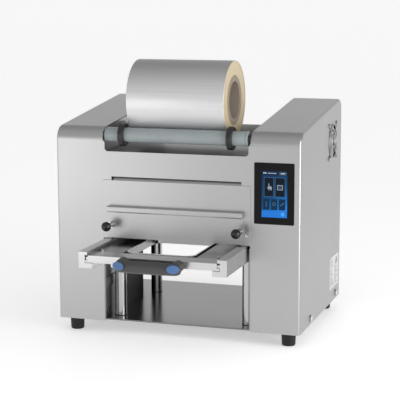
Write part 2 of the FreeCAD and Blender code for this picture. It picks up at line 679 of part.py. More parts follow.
def sealing_press():
    """Fixed beam with the drive on it, and the head that comes down on the mould."""
    beam_low, beam_top = d.beam_z, d.beam_z + d.beam_thick
    posts = [(sx * d.post_x, d.head_y + sy * d.post_span) for sx in (-1, 1) for sy in (-1, 1)]
    beam_outline = rectangle(-d.tower_edge, d.beam_front, d.tower_edge, d.beam_rear)
    holes = [(x, y, d.post_rad + d.running) for x, y in posts]
    holes.append((0, d.head_y, d.screw_rad + d.running))
    publish(plate("beam", "XY", [beam_outline] + holes, beam_low, beam_top), "press_beam")
    publish(rod("motor", "z", d.press_motor_rad, (0, d.head_y, beam_top), d.press_motor_tall),
            "press_motor")

    head_low, head_top = d.head_z, d.head_z + d.head_thick
    head_outline = rectangle(-d.head_x, d.head_front, d.head_x, d.head_rear)
    hole = (0, d.head_y, d.screw_rad + 1)
    head = plate("head_sheet", "XY", [head_outline, hole], head_low, head_top)
    nut = tube("nut", "z", d.nut_rad, d.screw_rad + d.running, (0, d.head_y, head_top),
               d.nut_top - head_top)
    publish(fuse("head", [head, nut]), "press_head")
    rods = [rod("post_%d" % n, "z", d.post_rad, (x, y, head_top), d.post_top - head_top)
            for n, (x, y) in enumerate(posts)]
    publish(group("post_set", rods), "guide_posts")

    wide, long = d.heater_half - d.heater_narrow, d.heater_half
    block = rectangle(-wide, d.head_y - long, wide, d.head_y + long, d.heater_bend)
    publish(plate("heater", "XY", [block], d.heater_z, head_low), "heater_plate")
    wide, long, wall = d.knife_half - d.knife_narrow, d.knife_half - d.knife_short, d.knife_wall
    outer = rectangle(-wide, d.head_y - long, wide, d.head_y + long, d.knife_bend)
    inner = rectangle(-wide + wall, d.head_y - long + wall, wide - wall, d.head_y + long - wall,
                      d.knife_bend - wall)
    publish(plate("knife", "XY", [outer, inner], d.knife_z, head_low), "cutting_frame")
    long = beam_top - 0.5 - d.screw_low
    publish(rod("spindle", "z", d.screw_rad, (0, d.head_y, d.screw_low), long), "press_screw")


def film_guides():
    """Inner film rollers, and the spool that winds up the cut-out film."""
    for label, y in (("front", d.guide_front), ("rear", d.guide_rear)):
        barrel = rod("guide_barrel_" + label, "x", d.guide_rad, (-d.guide_half, y, d.guide_z),
                     2 * d.guide_half)
        reach = d.tower_edge - 0.5
        axle = rod("guide_axle_" + label, "x", d.axle_rad, (-reach, y, d.guide_z), 2 * reach)
        publish(fuse("guide_" + label, [barrel, axle]), "guide_roller_" + label)
    half, reach = d.spool_half, d.tower_edge + d.skin + 1
    pieces = [rod("spool_barrel", "x", d.spool_rad, (-half, d.spool_y, d.spool_z), 2 * half),
              rod("spool_axle", "x", d.shaft_rad, (-reach, d.spool_y, d.spool_z), 2 * reach)]
    for label, side in SIDES:
        start = side * half - d.spool_flange_wide / 2
        pieces.append(rod("spool_flange_" + label, "x", d.spool_flange,
                          (start, d.spool_y, d.spool_z), d.spool_flange_wide))
    publish(fuse("spool", pieces), "waste_spool")


# ---------------------------------------------------------------- drives, electronics and mains

def tower_internals():
    """Motors of the rear roller and of the spool, power supply and control board in the towers."""
    edge, side = d.tower_edge + d.skin, HALF - d.skin
    start = -edge - d.motor_out
    publish(rod("feed_drive", "x", d.feed_motor_rad, (start, REAR_ROLLER_Y, d.roller_z),
                d.feed_motor_long), "feed_motor")
    publish(rod("waste_drive", "x", d.waste_motor_rad, (start, d.spool_y, d.spool_z),
                d.waste_motor_long), "waste_motor")
    publish(box("supply", (edge + 14, 60, d.wall), (side - 10, 215, 48)), "power_supply")
    publish(box("board", (side - 8, 60, 100), (side - 6, 220, 300)), "control_board")


def cooling_fan():
    """Square fan behind the vent in the right side panel, its impeller and the wire guard outside."""
    half, side, centre = d.fan_size / 2, HALF - d.skin, (d.fan_y, d.fan_z)
    frame = rectangle(centre[0] - half, centre[1] - half, centre[0] + half, centre[1] + half)
    back = side - d.fan_thick
    casing = plate("fan_box", "YZ", [frame, (centre[0], centre[1], d.fan_rad + 1)], back, side)
    pieces = [casing]
    for n, (y, z) in enumerate(((half - 1, 2), (2, half - 1))):
        pieces.append(box("fan_strut_%d" % n, (back, centre[0] - y, centre[1] - z),
                          (back + d.strut_thick, centre[0] + y, centre[1] + z)))
    publish(fuse("fan_casing", pieces), "fan_frame")

    start = back + d.hub_back
    blades = [rod("hub", "x", d.hub_rad, (start, *centre), d.hub_long)]
    for turn in range(FAN_BLADES):
        blade = new("Part::Box", "blade_%d" % turn)
        blade.setExpression("Length", formula(d.blade_long))
        blade.setExpression("Width", formula(d.blade_thick))
        blade.setExpression("Height", formula(d.fan_rad - 1))
        twist = FreeCAD.Rotation(FreeCAD.Vector(1, 0, 0), 360 / FAN_BLADES * turn)
        blades.append(put(blade, start + 1, *centre, turn=twist))
    publish(fuse("impeller", blades), "fan_impeller")

    plane = HALF + d.wire_out
    wires = [ring("wire_ring_%d" % n, "x", d.wire_ring * (n + 1), d.wire_rad, (plane, *centre))
             for n in range(WIRE_RINGS)]
    reach = d.fan_pitch / 2
    # the spokes run from the inner ring to the screws in the corners
    inner = d.wire_ring / math.sqrt(2)
    for n, (sy, sz) in enumerate(((-1, -1), (-1, 1), (1, -1), (1, 1))):
        eye = (HALF, centre[0] + sy * reach, centre[1] + sz * reach)
        wires.append(rod("guard_screw_%d" % n, "x", d.guard_screw_rad, eye, d.guard_screw_tall))
        spoke = new("Part::Cylinder", "spoke_%d" % n)
        spoke.setExpression("Radius", formula(d.wire_rad))
        spoke.setExpression("Height", formula(reach * math.sqrt(2) - d.wire_ring))
        lean = FreeCAD.Rotation(FreeCAD.Vector(0, 0, 1), FreeCAD.Vector(0, sy, sz))
        wires.append(put(spoke, plane, centre[0] + sy * inner, centre[1] + sz * inner, turn=lean))
    publish(fuse("wire_guard", wires), "fan_guard")


def mains():
    """Mains inlet with a rocker switch, low on the rear of the right tower, and the rating label."""
    low, high, rear = (HALF - d.inlet_near, d.inlet_low), (HALF - d.inlet_far, d.inlet_top), d.depth
    shell = box("inlet_shell", (low[0], rear - 25, low[1]), (high[0], rear, high[1]))
    rim = box("inlet_rim", (low[0] - 4, rear, low[1] - 3), (high[0] + 4, rear + 2, high[1] + 3))
    socket = box("inlet_socket", (low[0] + 3, rear - 15, low[1] + 3), (high[0] - 3, rear + 5, low[1] + 22))
    well = box("switch_well", (low[0] + 4, rear - 12, high[1] - 20), (high[0] - 4, rear + 5, high[1] - 5))
    pins = []
    for n in (-1, 0, 1):
        centre = low[0] + 15 + 7 * n
        pins.append(box("inlet_pin_%d" % (n + 1), (centre - 1, rear - 15, low[1] + 9),
                        (centre + 1, rear - 3, low[1] + 14)))
    hollow = cut("inlet_hollow", cut("inlet_open", fuse("inlet_block", [shell, rim]), socket), well)
    publish(fuse("inlet", [hollow] + pins), "power_inlet")

    middle, half, centre_z, tall = low[0] + 15, 10.5, high[1] - 12.5, 5.2
    wedge = [(rear - 10, centre_z - tall), (rear + 1.5, centre_z - tall), (rear + 1, centre_z),
             (d.rear_reach, centre_z + tall), (rear - 10, centre_z + tall)]
    publish(plate("rocker", "YZ", [wedge], middle - half, middle + half), "mains_switch")
    publish(box("label_plate", (HALF, d.label_front, d.label_low),
                (HALF + d.label_thick, d.label_rear, d.label_top)), "rating_label")


# ---------------------------------------------------------------- the whole machine

front_fascia()
rear_panel()
bay_deck()
base_plate()
for label, side in SIDES:
    top_cover(label, side)
    side_panel(label, side)
    inner_wall(label, side)
    rail(label, side)
columns()
feet()
drawer()
handle()
front_panel()
guard()
display()
dome_screws()
film_roll()
roller("front", d.roller_y, d.tower_edge - 0.3)
roller("rear", REAR_ROLLER_Y, d.tower_edge + d.skin + 1)
collars()
bushings()
sealing_press()
film_guides()
tower_internals()
cooling_fan()
mains()
doc.recompute()

problems = ["%s: %s" % (item.Label, item.State) for item in doc.Objects
            if "Invalid" in item.State or "Error" in item.State]
problems += [item.Label + ": bad shape" for item in parts
             if item.Shape.isNull() or not item.Shape.isValid()]
if problems:
    raise RuntimeError("\n".join(problems))

os.makedirs("parts", exist_ok=True)
for item in parts:
    item.Shape.exportStep("parts/%s.step" % item.Label)
whole = Part.makeCompound([item.Shape for item in parts])
print(len(parts), "sub-parts, box", whole.BoundBox)
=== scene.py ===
import json
import math
import random

import bmesh
import bpy
from mathutils import Matrix, Vector


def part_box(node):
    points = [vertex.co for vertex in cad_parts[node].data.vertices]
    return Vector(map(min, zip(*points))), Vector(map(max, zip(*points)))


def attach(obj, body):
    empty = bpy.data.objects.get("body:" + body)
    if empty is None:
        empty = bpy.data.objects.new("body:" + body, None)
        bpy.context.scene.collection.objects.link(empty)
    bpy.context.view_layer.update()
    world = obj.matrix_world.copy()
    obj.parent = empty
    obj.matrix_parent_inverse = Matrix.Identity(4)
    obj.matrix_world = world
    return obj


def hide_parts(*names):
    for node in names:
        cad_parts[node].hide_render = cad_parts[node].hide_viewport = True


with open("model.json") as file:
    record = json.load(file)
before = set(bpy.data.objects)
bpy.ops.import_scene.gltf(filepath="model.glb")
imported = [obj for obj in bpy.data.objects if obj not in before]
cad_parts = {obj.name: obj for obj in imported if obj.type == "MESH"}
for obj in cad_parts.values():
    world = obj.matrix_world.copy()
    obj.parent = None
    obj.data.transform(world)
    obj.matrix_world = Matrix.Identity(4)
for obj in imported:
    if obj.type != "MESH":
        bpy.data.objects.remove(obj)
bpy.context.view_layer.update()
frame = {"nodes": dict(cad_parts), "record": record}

# Tray and cup sealing machine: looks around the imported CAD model. Metres, Z up, front towards -Y.
# Most CAD nodes keep their shape and only get softened edges; the skin, the inner walls, the film
# roll, the handle, the knobs, the feet, the display and the label are modelled again in more detail.

NODES = frame["nodes"]
RECORD = frame["record"]
SLOT_OF = {entry["node"]: entry["material_slot"] for entry in RECORD["subparts"]}
BODY_OF = {name: body for body, names in RECORD["behaviour"]["bodies"].items() for name in names}
MM = 0.001

# the cabinet's bent outline: the roof's height at the face, its rise along Y, and the radii of the bends
FACE_TOP = 431.9 * MM
ROOF_SLOPE = 0.1127
FRONT_BEND = 28 * MM
REAR_BEND = 25 * MM
SIDE_ROUND = 5 * MM
# clearance between the skin's sheets and the solid that they are cut with
FIT = 0.05 * MM
SKIN_NODES = ("front_fascia", "left_top_cover", "right_top_cover", "left_side_panel", "right_side_panel",
              "rear_panel")
# reflectance of the skin's steel
STEEL = 0.45
# degrees: flatter joints between faces are dissolved, sharper ones are rounded or stay sharp
FLAT_ANGLE = 0.2
SHARP_ANGLE = 32
# direction of an axis, and the two across it
AXES = {"x": (Vector((1, 0, 0)), Vector((0, 1, 0)), Vector((0, 0, 1))),
        "y": (Vector((0, 1, 0)), Vector((0, 0, 1)), Vector((1, 0, 0))),
        "z": (Vector((0, 0, 1)), Vector((1, 0, 0)), Vector((0, 1, 0)))}


# ---------------------------------------------------------------- camera, light and floor

def camera():
    """Long lens to the right of the front, looking slightly down."""
    data = bpy.data.cameras.new("camera")
    data.lens = 120.5
    data.sensor_width = 36
    data.shift_y = -0.0045
    data.clip_end = 300
    item = bpy.data.objects.new("camera", data)
    bpy.context.scene.collection.objects.link(item)
    yaw, pitch, roll = math.radians(17.795), math.radians(9.273), math.radians(-0.151)
    place = Matrix.Translation((0.865, -2.6326, 0.7316))
    aim = Matrix.Rotation(yaw, 4, "Z") @ Matrix.Rotation(math.pi / 2 - pitch, 4, "X")
    item.matrix_world = place @ aim @ Matrix.Rotation(roll, 4, "Z")
    bpy.context.scene.camera = item


def softbox(name, place, target, wide, tall, radiance):
    """Rectangular lamp of an even brightness, turned to the target."""
    data = bpy.data.lights.new(name, "AREA")
    data.shape = "RECTANGLE"
    data.size = wide
    data.size_y = tall
    data.energy = radiance * math.pi * wide * tall
    item = bpy.data.objects.new(name, data)
    bpy.context.scene.collection.objects.link(item)
    aim = Vector(target) - Vector(place)
    item.matrix_world = Matrix.Translation(place) @ aim.to_track_quat("-Z", "Y").to_matrix().to_4x4()


# brightness of the room by height (0 at the horizon, 1 overhead) and by depth (0 in front, 1 behind)
ROOM_BY_HEIGHT = ((0.0, 0.90), (0.16, 0.82), (0.42, 0.63), (0.8, 0.65), (1.0, 0.59))
ROOM_BY_DEPTH = ((0.0, 0.97), (0.2, 1.0), (0.45, 0.85), (0.65, 0.70), (0.8, 0.62), (0.95, 1.0), (1.0, 1.0))


def studio():
    """Pale floor, a room brightest at eye level, a low wide lamp at the left and a tall one at the right."""
    scene = bpy.context.scene
    scene.view_settings.view_transform = "Standard"
    world = bpy.data.worlds.new("studio")
    scene.world = world
    world.use_nodes = True
    world.node_tree.nodes.clear()
    output = node(world, "ShaderNodeOutputWorld")
    sky = node(world, "ShaderNodeBackground")
    way = components(world, node(world, "ShaderNodeTexCoord").outputs["Generated"])
    height = ramp(world, way["Z"], levels(ROOM_BY_HEIGHT), "EASE")
    depth = ramp(world, mapped(world, way["Y"], -1.0, 1.0), levels(ROOM_BY_DEPTH), "EASE")
    both = product(world)
    both.inputs["Factor"].default_value = 1.0
    link(world, height, both.inputs["A"])
    link(world, depth, both.inputs["B"])
    link(world, both.outputs["Result"], sky.inputs["Color"])
    link(world, sky.outputs[0], output.inputs["Surface"])

    reach = 90
    mesh = bpy.data.meshes.new("floor")
    corners = [(-reach, -reach, 0), (reach, -reach, 0), (reach, reach, 0), (-reach, reach, 0)]
    mesh.from_pydata(corners, [], [(0, 1, 2, 3)])
    floor = bpy.data.objects.new("floor", mesh)
    scene.collection.objects.link(floor)
    pale, shader = new_material("pale_floor", grey(0.92), 0.6)
    shader.inputs["Emission Color"].default_value = (1, 1, 1, 1)
    shader.inputs["Emission Strength"].default_value = 0.42
    shader.inputs["Specular IOR Level"].default_value = 0.2
    drive(pale, noise_at(pale, 3.0), shader.inputs["Roughness"], 0.55, 0.7)
    mesh.materials.append(pale)

    softbox("key_left", (-0.95, -1.25, 0.24), (0.0, -0.1, 0.22), 1.0, 0.48, 1.15)
    softbox("edge_right", (1.5, -0.60, 0.50), (0.26, -0.1, 0.25), 1.0, 1.2, 3.6)


# ---------------------------------------------------------------- materials

def new_material(name, colour, roughness, metallic=0.0):
    """Principled material and its shader."""
    made = bpy.data.materials.new(name)
    made.use_nodes = True
    shader = made.node_tree.nodes["Principled BSDF"]
    shader.inputs["Base Color"].default_value = (*colour, 1)
    shader.inputs["Roughness"].default_value = roughness
    shader.inputs["Metallic"].default_value = metallic
    return made, shader


def node(made, kind, **inputs):
    """New shader node of a material or a world, with numbers for its sockets."""
    item = made.node_tree.nodes.new(kind)
    for key, value in inputs.items():
        item.inputs[key.replace("_", " ")].default_value = value
    return item


def link(made, source, target):
    made.node_tree.links.new(source, target)


def components(made, vector):
    """X, Y and Z sockets of a vector."""
    split = node(made, "ShaderNodeSeparateXYZ")
    link(made, vector, split.inputs[0])
    return split.outputs


def object_parts(made):
    """X, Y and Z of the object coordinates, in metres."""
    return components(made, node(made, "ShaderNodeTexCoord").outputs["Object"])


def coordinates(made, stretch=(1, 1, 1), shift=(0, 0, 0)):
    """Object coordinates in metres, moved by shift and then stretched."""
    where = node(made, "ShaderNodeTexCoord")
    mapping = node(made, "ShaderNodeMapping")
    mapping.vector_type = "POINT"
    mapping.inputs["Scale"].default_value = stretch
    mapping.inputs["Location"].default_value = [a * b for a, b in zip(shift, stretch)]
    link(made, where.outputs["Object"], mapping.inputs["Vector"])
    return mapping.outputs["Vector"]


def noise_at(made, scale, detail=3.0, rough=0.5, stretch=(1, 1, 1)):
    item = node(made, "ShaderNodeTexNoise", Scale=scale, Detail=detail, Roughness=rough)
    link(made, coordinates(made, stretch), item.inputs["Vector"])
    return item.outputs["Fac"]


def mapped(made, value, start, end, low=0.0, high=1.0):
    """A value between start and end, turned into one between low and high."""
    spread = node(made, "ShaderNodeMapRange", From_Min=start, From_Max=end, To_Min=low, To_Max=high)
    link(made, value, spread.inputs["Value"])
    return spread.outputs["Result"]


def drive(made, noise, target, low, high):
    """The useful middle of a noise drives a socket between low and high."""
    link(made, mapped(made, noise, 0.3, 0.7, low, high), target)


def ramp(made, value, stops, blend="LINEAR"):
    """Colour along a value, through (position, colour) stops."""
    item = node(made, "ShaderNodeValToRGB")
    item.color_ramp.interpolation = blend
    for _ in stops[2:]:
        item.color_ramp.elements.new(0.5)
    for element, (position, colour) in zip(item.color_ramp.elements, stops):
        element.position = position
        element.color = (*colour, 1)
    link(made, value, item.inputs["Fac"])
    return item.outputs["Color"]


def tint(made, value, target, stops):
    """A value drives a colour socket through (position, colour) stops."""
    link(made, ramp(made, value, stops), target)


def product(made):
    """Node that multiplies colour A by colour B, as far as its factor says."""
    item = node(made, "ShaderNodeMix")
    item.data_type = "RGBA"
    item.blend_type = "MULTIPLY"
    return item


def bump(made, shader, height, distance, strength):
    item = node(made, "ShaderNodeBump", Strength=strength, Distance=distance)
    link(made, height, item.inputs["Height"])
    link(made, item.outputs["Normal"], shader.inputs["Normal"])


def grey(level):
    return (level, level, level)


def levels(stops):
    """Grey colour stops from (position, level) stops."""
    return [(position, grey(level)) for position, level in stops]


def scaled(colour, factor):
    return tuple(channel * factor for channel in colour)


# grinding lines: how often the noise changes in a metre along X, Y and Z
ALONG_X = (30, 1800, 1800)
ALONG_Y = (1800, 30, 1800)


def brushed(name, level, rough, stretch, depth=0.010 * MM):
    """Sheet metal with fine grinding lines, long in the direction of the small stretch."""
    made, shader = new_material(name, grey(level), rough, 1.0)
    lines = noise_at(made, 1.0, 5.0, 0.6, stretch)
    clouds = noise_at(made, 5.0, 2.0)
    tint(made, lines, shader.inputs["Base Color"], levels(((0.3, level * 0.97), (0.7, level * 1.03))))
    drive(made, clouds, shader.inputs["Roughness"], rough - 0.02, rough + 0.02)
    bump(made, shader, lines, depth, 0.5)
    return made


def metal(name, level, rough):
    """Turned or polished metal with faint handling marks."""
    made, shader = new_material(name, grey(level), rough, 1.0)
    marks = noise_at(made, 40.0)
    drive(made, marks, shader.inputs["Roughness"], rough * 0.85, rough * 1.2)
    tint(made, marks, shader.inputs["Base Color"], levels(((0.3, level * 0.97), (0.7, level * 1.02))))
    bump(made, shader, marks, 0.004 * MM, 0.2)
    return made


def plastic(name, colour, rough, grain=1800.0, depth=0.03 * MM, strength=0.3):
    """Moulded plastic or rubber with a fine grain."""
    made, shader = new_material(name, colour, rough)
    pores = noise_at(made, grain, 2.0)
    wear = noise_at(made, 25.0, 3.0)
    drive(made, wear, shader.inputs["Roughness"], rough - 0.04, rough + 0.05)
    stops = ((0.3, scaled(colour, 0.96)), (0.7, scaled(colour, 1.04)))
    tint(made, wear, shader.inputs["Base Color"], stops)
    bump(made, shader, pores, depth, strength)
    return made


def dulled(made, level):
    """Lower the reflectance of a plastic."""
    made.node_tree.nodes["Principled BSDF"].inputs["Specular IOR Level"].default_value = level
    return made


def distance_from_axis(made, centre):
    """Distance from an axis along X through the centre, in metres."""
    flat = coordinates(made, (0, 1, 1), -Vector(centre))
    length = node(made, "ShaderNodeVectorMath")
    length.operation = "LENGTH"
    link(made, flat, length.inputs[0])
    return length.outputs["Value"]


def ringed(made, centre, scale):
    """Noise that only changes with the distance from an axis along X."""
    rings = node(made, "ShaderNodeTexNoise", Scale=scale, Detail=4.0)
    rings.noise_dimensions = "1D"
    link(made, distance_from_axis(made, centre), rings.inputs["W"])
    return rings.outputs["Fac"]


def film_end(centre):
    """Wound edges of clear film: cream, with fine rings."""
    made, shader = new_material("film_end", (0.72, 0.58, 0.36), 0.42)
    rings = ringed(made, centre, 900.0)
    stops = ((0.25, (0.47, 0.36, 0.20)), (0.75, (0.68, 0.57, 0.385)))
    tint(made, rings, shader.inputs["Base Color"], stops)
    drive(made, rings, shader.inputs["Roughness"], 0.35, 0.5)
    bump(made, shader, rings, 0.15 * MM, 0.5)
    return made


def film_skin():
    """Satin outside of the roll with faint lengthwise streaks, and painted shade that darkens it where it
    faces up.
    """
    made, shader = new_material("film_skin", grey(0.64), 0.38, 0.8)
    streaks = noise_at(made, 1.0, 4.0, 0.55, (5, 260, 260))
    waves = noise_at(made, 1.0, 2.0, 0.5, (9, 24, 24))
    # painted shade: the colour is multiplied down to 0.62 of itself where the surface faces up
    normal = components(made, node(made, "ShaderNodeNewGeometry").outputs["Normal"])
    level = product(made)
    level.inputs["B"].default_value = (*grey(0.62), 1)
    link(made, mapped(made, normal["Z"], 0.35, 1.0), level.inputs["Factor"])
    tint(made, streaks, level.inputs["A"], levels(((0.3, 0.66), (0.7, 0.71))))
    link(made, level.outputs["Result"], shader.inputs["Base Color"])
    drive(made, waves, shader.inputs["Roughness"], 0.36, 0.42)
    bump(made, shader, waves, 0.25 * MM, 0.3)
    return made


def nest_finish():
    """Satin inside of the tray nest with a bright band painted along its rim as a highlight."""
    inside, rim_highlight = 0.30, 0.82
    made, shader = new_material("nest_steel", grey(inside), 0.22, 1.0)
    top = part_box("tray_nest")[1].z
    # painted highlight: a bright band from 1.2 to 0.6 mm under the top edge
    rim = mapped(made, object_parts(made)["Z"], top - 1.2 * MM, top - 0.6 * MM)
    tint(made, rim, shader.inputs["Base Color"], levels(((0.0, inside), (1.0, rim_highlight))))
    drive(made, noise_at(made, 40.0), shader.inputs["Roughness"], 0.19, 0.26)
    return made


def wound_board(centre):
    """Grey-brown board of the core: rings on its end, fibres elsewhere."""
    made, shader = new_material("wound_board", (0.40, 0.33, 0.26), 0.85)
    rings = ringed(made, centre, 500.0)
    fibres = noise_at(made, 1.0, 5.0, 0.6, (300, 900, 900))
    mixed = node(made, "ShaderNodeMath")
    mixed.operation = "MULTIPLY"
    link(made, rings, mixed.inputs[0])
    link(made, fibres, mixed.inputs[1])
    stops = ((0.12, (0.21, 0.165, 0.13)), (0.34, (0.36, 0.30, 0.24)))
    tint(made, mixed.outputs[0], shader.inputs["Base Color"], stops)
    bump(made, shader, fibres, 0.2 * MM, 0.5)
    return made


def display_glass(name, colour):
    """Dark glass that hardly reflects, ready to be given what it shines with."""
    made, shader = new_material(name, colour, 0.15)
    shader.inputs["Emission Strength"].default_value = 1.0
    shader.inputs["Specular IOR Level"].default_value = 0.15
    return made, shader


def screen_glow():
    """Lit display: navy at the top left, bright blue towards the lower right."""
    made, shader = display_glass("screen_glow", (0.0, 0.01, 0.03))
    low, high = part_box("display_screen")
    place = object_parts(made)
    total = node(made, "ShaderNodeMath")
    link(made, mapped(made, place["X"], low.x, high.x, 0.0, 0.35), total.inputs[0])
    link(made, mapped(made, place["Z"], high.z, low.z, 0.0, 0.75), total.inputs[1])
    stops = ((0.0, (0.0, 0.014, 0.045)), (0.55, (0.0, 0.050, 0.15)),
             (0.85, (0.008, 0.16, 0.50)), (1.0, (0.02, 0.27, 0.9)))
    tint(made, total.outputs[0], shader.inputs["Emission Color"], stops)
    return made


def glowing(name, colour):
    """Lit mark on the display with a slight unevenness."""
    made, shader = display_glass(name, grey(0.0))
    stops = ((0.3, scaled(colour, 0.92)), (0.7, colour))
    tint(made, noise_at(made, 90.0), shader.inputs["Emission Color"], stops)
    return made


def slot_materials():
    """One material for each slot of the record."""
    return {
        "brushed_steel": brushed("brushed_steel", STEEL, 0.33, ALONG_X),
        "polished_steel": metal("polished_steel", 0.62, 0.16),
        "base_steel": brushed("base_steel", 0.22, 0.20, ALONG_X, 0.002 * MM),
        "aluminium": brushed("aluminium", 0.62, 0.22, ALONG_Y, 0.004 * MM),
        "mould_grey": brushed("mould_grey", 0.41, 0.23, ALONG_Y, 0.005 * MM),
        "black_plastic": plastic("black_plastic", grey(0.014), 0.34),
        "handle_grey": plastic("handle_grey", grey(0.050), 0.40),
        "black_gloss": plastic("black_gloss", grey(0.006), 0.08, 300.0, 0.004 * MM, 0.1),
        "blue_cap": plastic("blue_cap", (0.060, 0.145, 0.330), 0.36),
        "rubber": dulled(plastic("rubber", grey(0.010), 0.45, 900.0), 0.3),
        "bezel_black": dulled(plastic("bezel_black", grey(0.006), 0.25, 500.0, 0.002 * MM, 0.1), 0.12),
        "screen": screen_glow(),
        "film": film_skin(),
        "cardboard": plastic("cardboard", (0.40, 0.33, 0.26), 0.8, 700.0, 0.1 * MM),
        "roller_grey": plastic("roller_grey", (0.295, 0.33, 0.34), 0.21, 400.0, 0.005 * MM),
        "dark_metal": plastic("dark_metal", grey(0.05), 0.45),
        "board_green": plastic("board_green", (0.02, 0.14, 0.06), 0.4),
        "label_white": plastic("label_white", grey(0.60), 0.40),
    }


# ---------------------------------------------------------------- mesh helpers

def piece(name, mesh, body, slot, materials, *replaced):
    """Put a finished mesh in the scene: it rides on a body and may stand for CAD nodes."""
    item = bpy.data.objects.new(name, mesh)
    bpy.context.scene.collection.objects.link(item)
    for made in materials:
        mesh.materials.append(made)
    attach(item, body)
    if replaced:
        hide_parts(*replaced)
    return item


def bake(item):
    """Turn the modifiers' result into the object's own mesh."""
    graph = bpy.context.evaluated_depsgraph_get()
    baked = bpy.data.meshes.new_from_object(item.evaluated_get(graph))
    item.modifiers.clear()
    item.data = baked


def simplify(work, gap):
    """Merge points nearer than a gap and join faces that lie in one plane."""
    bmesh.ops.remove_doubles(work, verts=work.verts, dist=gap)
    bmesh.ops.dissolve_limit(work, angle_limit=math.radians(FLAT_ANGLE), verts=work.verts, edges=work.edges)


def merged_copy(name):
    """Copy of a CAD node's mesh with its doubled points merged and its flat faces joined."""
    mesh = NODES[name].data.copy()
    work = bmesh.new()
    work.from_mesh(mesh)
    simplify(work, 0.002 * MM)
    work.to_mesh(mesh)
    work.free()
    while mesh.uv_layers:
        mesh.uv_layers.remove(mesh.uv_layers[0])
    mesh.materials.clear()
    return mesh


def soften(item, width, angle=SHARP_ANGLE):
    """Round the sharp edges of an object, then bake it with clean normals."""
    item.data.shade_smooth()
    edge = item.modifiers.new("edge", "BEVEL")
    edge.width = width
    edge.segments = 2
    edge.limit_method = "ANGLE"
    edge.angle_limit = math.radians(angle)
    edge.use_clamp_overlap = False
    edge.harden_normals = False
    even = item.modifiers.new("even", "WEIGHTED_NORMAL")
    even.keep_sharp = True
    bake(item)


def softened(name, width, made):
    """CAD node with softened edges."""
    item = piece(name + "_soft", merged_copy(name), BODY_OF[name], SLOT_OF[name], [made], name)
    soften(item, width)


def rounded(points, steps=5):
    """Outline from (u, v, bend) corners, each bend drawn as an arc of that radius."""
    out = []
    count = len(points)
    for i, corner in enumerate(points):
        here = Vector(corner[:2])
        bend = corner[2] if len(corner) > 2 else 0
        if bend <= 0:
            out.append(here)
            continue
        before = Vector(points[i - 1][:2]) - here
        after = Vector(points[(i + 1) % count][:2]) - here
        half = before.angle(after) / 2
        reach = bend / math.tan(half)
        centre = here + (before.normalized() + after.normalized()).normalized() * bend / math.sin(half)
        first = here + before.normalized() * reach - centre
        last = here + after.normalized() * reach - centre
        sweep = first.angle_signed(last)
        for step in range(steps + 1):
            out.append(centre + Matrix.Rotation(-sweep * step / steps, 2) @ first)
    return out


def lathe(work, profile, axis, centre, segments=48, index=0, closed=False):
    """Turn a profile of (distance along the axis, radius) about an axis into a bmesh.

    A closed profile is a ring's section; an open one is closed only where it meets the axis."""
    along, across, up = AXES[axis]
    turns = [2 * math.pi * i / segments for i in range(segments)]
    rings = []
    for h, r in profile:
        middle = Vector(centre) + along * h
        if r < 1e-7:
            rings.append([work.verts.new(middle)])
            continue
        rings.append([work.verts.new(middle + (across * math.cos(a) + up * math.sin(a)) * r) for a in turns])
    pairs = list(zip(rings, rings[1:]))
    if closed:
        pairs.append((rings[-1], rings[0]))
    for near, far in pairs:
        for i in range(segments):
            j = (i + 1) % segments
            quad = [near[i % len(near)], near[j % len(near)], far[j % len(far)], far[i % len(far)]]
            corners = list(dict.fromkeys(quad))
            if len(corners) > 2:
                face = work.faces.new(corners)
                face.material_index = index
                face.smooth = True


def slab(work, outline, axis, start, end, index=0):
    """Straight prism from a flat outline; axis is the direction of its thickness."""
    along, across, up = AXES[axis]
    rings = [[work.verts.new(along * h + across * u + up * v) for u, v in outline] for h in (start, end)]
    faces = [work.faces.new(rings[0]), work.faces.new(list(reversed(rings[1])))]
    for i in range(len(outline)):
        j = (i + 1) % len(outline)
        faces.append(work.faces.new([rings[0][j], rings[0][i], rings[1][i], rings[1][j]]))
    for face in faces:
        face.material_index = index


def finished(work, name, sharp=SHARP_ANGLE):
    """Close a bmesh into a mesh with outward normals, smooth but for its sharp edges."""
    bmesh.ops.recalc_face_normals(work, faces=work.faces)
    mesh = bpy.data.meshes.new(name)
    work.to_mesh(mesh)
    work.free()
    mesh.shade_smooth()
    mesh.set_sharp_from_angle(angle=math.radians(sharp))
    return mesh


def rectangle(u1, v1, u2, v2, bend=0.0):
    return rounded([(u1, v1, bend), (u2, v1, bend), (u2, v2, bend), (u1, v2, bend)])


def boolean(item, other, how):
    """Join or cut an object with another, which is used up."""
    change = item.modifiers.new("change", "BOOLEAN")
    change.operation = how
    change.solver = "EXACT"
    change.object = other
    bake(item)
    bpy.data.objects.remove(other)


# ---------------------------------------------------------------- skin

def silhouette(inset):
    """Side outline of the cabinet as (y, z), drawn in by inset."""
    low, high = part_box("right_side_panel")
    front, rear = low.y + inset, high.y - inset
    bottom = low.z - 10 * MM

    def roof(y):
        return FACE_TOP + ROOF_SLOPE * (y - low.y) - inset * math.hypot(1, ROOF_SLOPE)

    return rounded([(front, bottom, 0), (front, roof(front), FRONT_BEND - inset),
                    (rear, roof(rear), REAR_BEND - inset), (rear, bottom, 0)], steps=26)


def envelope():
    """Solid that the skin just fits in, with the weld radius along the outline of both sides."""
    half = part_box("right_side_panel")[1].x
    loops = []
    last = 6
    for side, steps in ((1, range(last + 1)), (-1, range(last, -1, -1))):
        for step in steps:
            angle = math.pi / 2 * step / last
            depth = SIDE_ROUND * (1 - math.cos(angle))
            loops.append((side * (half + FIT - depth), SIDE_ROUND * (1 - math.sin(angle)) - FIT))
    work = bmesh.new()
    rings = [[work.verts.new((x, y, z)) for y, z in silhouette(inset)] for x, inset in loops]
    for near, far in zip(rings, rings[1:]):
        for i in range(len(near)):
            j = (i + 1) % len(near)
            work.faces.new([near[i], near[j], far[j], far[i]])
    work.faces.new(list(reversed(rings[0])))
    work.faces.new(rings[-1])
    return finished(work, "envelope")


